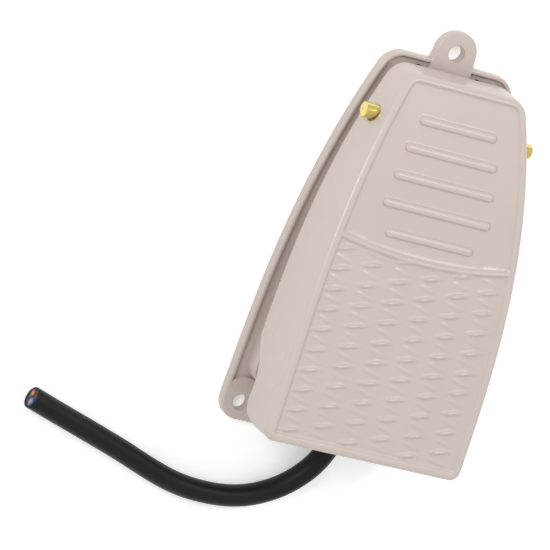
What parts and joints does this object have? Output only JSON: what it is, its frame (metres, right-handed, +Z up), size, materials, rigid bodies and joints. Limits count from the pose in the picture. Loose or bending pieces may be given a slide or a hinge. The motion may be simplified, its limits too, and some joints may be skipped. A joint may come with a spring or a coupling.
{
  "type": "foot switch",
  "caption": "Cast treadle foot switch: tray base with mounting ears, hollow hinged pedal with bars and diamond tread, return spring, snap-action switch and a bare-ended cable.",
  "frame": {"origin": "middle of the base's outer box, on the floor plane", "axes": "+X across the pedal, to the right seen from the toe end with the heel away; +Y towards the heel and its lug; +Z up"},
  "size_m": [0.1776, 0.2175, 0.048],
  "materials": {
    "enamel": "gloss",
    "brass": "polished",
    "steel": "zinc plated",
    "rubber": "matte",
    "phenolic": "satin",
    "plunger_red": "gloss",
    "sheath": "satin",
    "core_brown": "satin",
    "core_blue": "satin"
  },
  "bodies": {
    "base": {"base_casting": "enamel", "pivot_pin_left": "brass", "pivot_pin_right": "brass", "pin_clip_left": "steel", "pin_clip_right": "steel", "return_spring": "steel", "heel_pad_left": "rubber", "heel_pad_right": "rubber", "toe_buffer_left": "rubber", "toe_buffer_right": "rubber", "switch_case": "phenolic", "switch_cover": "phenolic", "switch_screws": "steel", "terminal_com": "brass", "terminal_no": "brass", "terminal_nc": "brass", "receptacle_com": "brass", "receptacle_no": "brass", "cable_grommet": "rubber", "cable_tail": "sheath", "cable_saddle": "steel", "saddle_screws": "steel", "wire_brown": "core_brown", "wire_blue": "core_blue", "cable_sheath": "sheath"},
    "pedal": {"pedal_casting": "enamel", "trip_screw": "steel", "trip_nut": "steel"},
    "plunger": {"switch_plunger": "plunger_red"}
  },
  "joints": [
    {"name": "pedal_hinge", "type": "hinge", "parent": "base", "child": "pedal", "pos_m": [0, 0.0521, 0.0188], "axis": [1, 0, 0], "range_deg": [0, 4], "stiffness_Nm_per_rad": 15, "springref_deg": -5.73, "deforming": ["return_spring"]},
    {"name": "plunger_slide", "type": "slide", "parent": "base", "child": "plunger", "axis": [0, 0, 1], "range_m": [-0.0024, 0]}
  ],
  "couplings": [
    {"joint": "plunger_slide", "follows": "pedal_hinge", "m_per_rad": -0.0328}
  ]
}
